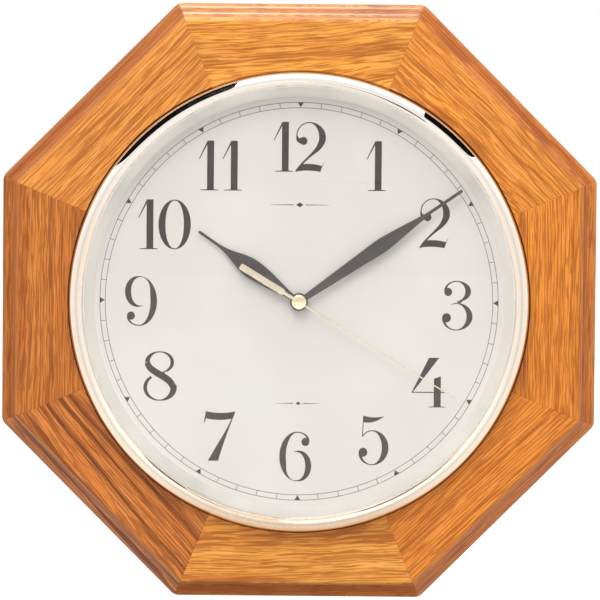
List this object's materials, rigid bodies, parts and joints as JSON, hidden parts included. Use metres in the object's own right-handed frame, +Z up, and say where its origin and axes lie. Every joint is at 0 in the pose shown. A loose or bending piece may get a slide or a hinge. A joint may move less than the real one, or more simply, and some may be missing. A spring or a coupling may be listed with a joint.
{
  "type": "wall clock",
  "caption": "Octagonal oak wall clock with a mitred moulded frame, rounded gold bezel, domed-edge dial with numerals, leaf hands and a geared quartz movement behind.",
  "frame": {"origin": "centre of the hanger plate's round keyhole entry, on the wall plane; the hands' axis is 133.5 mm straight below it", "axes": "+Z up, +Y out of the clock's back into the wall, the dial faces -Y, +X to the viewer's right as the dial is read"},
  "size_m": [0.3048, 0.034, 0.3048],
  "materials": {
    "oak": "satin varnish over golden oak, grain along each stave",
    "zinc_steel": "zinc plated",
    "pan_plastic": "moulded black",
    "brass_screw": "bright",
    "dial_paint": "off-white matte with black print",
    "ring_plastic": "silvery white",
    "seal_rubber": "matte",
    "clear_glass": "clear polished",
    "bezel_gold": "polished pale gold",
    "hand_black": "satin black",
    "hand_gold": "polished pale gold",
    "brass": "turned",
    "case_plastic": "moulded black, fine texture",
    "plate_plastic": "natural acetal",
    "wheel_plastic": "natural acetal",
    "knob_plastic": "moulded black",
    "arbor_steel": "turned",
    "magnet": "ground ferrite",
    "lamination": "stamped nickel iron",
    "bobbin_plastic": "cream",
    "coil_wire": "enamelled copper wire",
    "board": "brown paper laminate",
    "crystal_can": "drawn can",
    "chip_resin": "potting resin",
    "battery_sleeve": "plain green and silver sleeve with no wording",
    "contact_metal": "nickel plated"
  },
  "bodies": {
    "clock_case": {"stave_top": "oak", "stave_upper_right": "oak", "stave_right": "oak", "stave_lower_right": "oak", "stave_bottom": "oak", "stave_lower_left": "oak", "stave_left": "oak", "stave_upper_left": "oak", "hanger_plate": "zinc_steel", "hanger_screw_left": "zinc_steel", "hanger_screw_right": "zinc_steel", "dial_pan": "pan_plastic", "pan_screw_upper_right": "brass_screw", "pan_screw_lower_right": "brass_screw", "pan_screw_lower_left": "brass_screw", "pan_screw_upper_left": "brass_screw", "dial": "dial_paint", "inner_ring": "ring_plastic", "crystal_gasket": "seal_rubber", "crystal": "clear_glass", "bezel": "bezel_gold", "centre_bushing": "brass", "front_plate": "case_plastic", "middle_plate": "plate_plastic", "train_bridge": "plate_plastic", "rear_case": "case_plastic", "case_screw_a": "zinc_steel", "case_screw_b": "zinc_steel", "case_screw_c": "zinc_steel", "case_screw_d": "zinc_steel", "bridge_screw": "zinc_steel", "movement_screw_left": "zinc_steel", "movement_screw_right": "zinc_steel", "stator": "lamination", "coil_core": "lamination", "coil_bobbin": "bobbin_plastic", "coil_winding": "coil_wire", "circuit_board": "board", "quartz_can": "crystal_can", "chip": "chip_resin", "positive_contact": "contact_metal", "negative_contact": "contact_metal"},
    "minute": {"minute_hand": "hand_black", "minute_pipe": "brass", "centre_wheel": "wheel_plastic"},
    "hour": {"hour_hand": "hand_black", "hour_wheel": "wheel_plastic"},
    "second": {"second_hand": "hand_gold", "second_hand_cap": "hand_gold", "second_arbor": "arbor_steel", "second_wheel": "wheel_plastic"},
    "third": {"third_wheel": "wheel_plastic"},
    "fifth": {"fifth_wheel": "wheel_plastic"},
    "rotor": {"rotor_pinion": "wheel_plastic", "rotor_magnet": "magnet"},
    "reduction": {"reduction_wheel": "wheel_plastic"},
    "setting": {"setting_knob": "knob_plastic", "setting_gear": "wheel_plastic"},
    "battery": {"battery": "battery_sleeve"}
  },
  "joints": [
    {"name": "minute_turn", "type": "hinge", "parent": "clock_case", "child": "minute", "pos_m": [0, 0, -0.1335], "axis": [0, 1, 0], "continuous": true},
    {"name": "hour_turn", "type": "hinge", "parent": "clock_case", "child": "hour", "pos_m": [0, 0, -0.1335], "axis": [0, 1, 0], "continuous": true},
    {"name": "second_turn", "type": "hinge", "parent": "clock_case", "child": "second", "pos_m": [0, 0, -0.1335], "axis": [0, 1, 0], "continuous": true},
    {"name": "third_turn", "type": "hinge", "parent": "clock_case", "child": "third", "pos_m": [-0.00865, 0, -0.12484], "axis": [0, 1, 0], "continuous": true},
    {"name": "fifth_turn", "type": "hinge", "parent": "clock_case", "child": "fifth", "pos_m": [0.01015, 0, -0.12981], "axis": [0, 1, 0], "continuous": true},
    {"name": "rotor_turn", "type": "hinge", "parent": "clock_case", "child": "rotor", "pos_m": [0.01837, 0, -0.1328], "axis": [0, 1, 0], "continuous": true},
    {"name": "reduction_turn", "type": "hinge", "parent": "clock_case", "child": "reduction", "pos_m": [-0.01128, 0, -0.1376], "axis": [0, 1, 0], "continuous": true},
    {"name": "setting_turn", "type": "hinge", "parent": "clock_case", "child": "setting", "pos_m": [-0.02123, 0, -0.12925], "axis": [0, 1, 0], "continuous": true},
    {"name": "battery_slide", "type": "slide", "parent": "clock_case", "child": "battery", "axis": [0, 1, 0], "range_m": [0, 0.02]}
  ],
  "couplings": [
    {"joint": "hour_turn", "follows": "minute_turn", "ratio": 0.083333},
    {"joint": "second_turn", "follows": "minute_turn", "ratio": 60},
    {"joint": "third_turn", "follows": "minute_turn", "ratio": -7.5},
    {"joint": "fifth_turn", "follows": "minute_turn", "ratio": -300},
    {"joint": "rotor_turn", "follows": "minute_turn", "ratio": 1800},
    {"joint": "reduction_turn", "follows": "minute_turn", "ratio": -0.33333},
    {"joint": "setting_turn", "follows": "minute_turn", "ratio": 0.75}
  ]
}
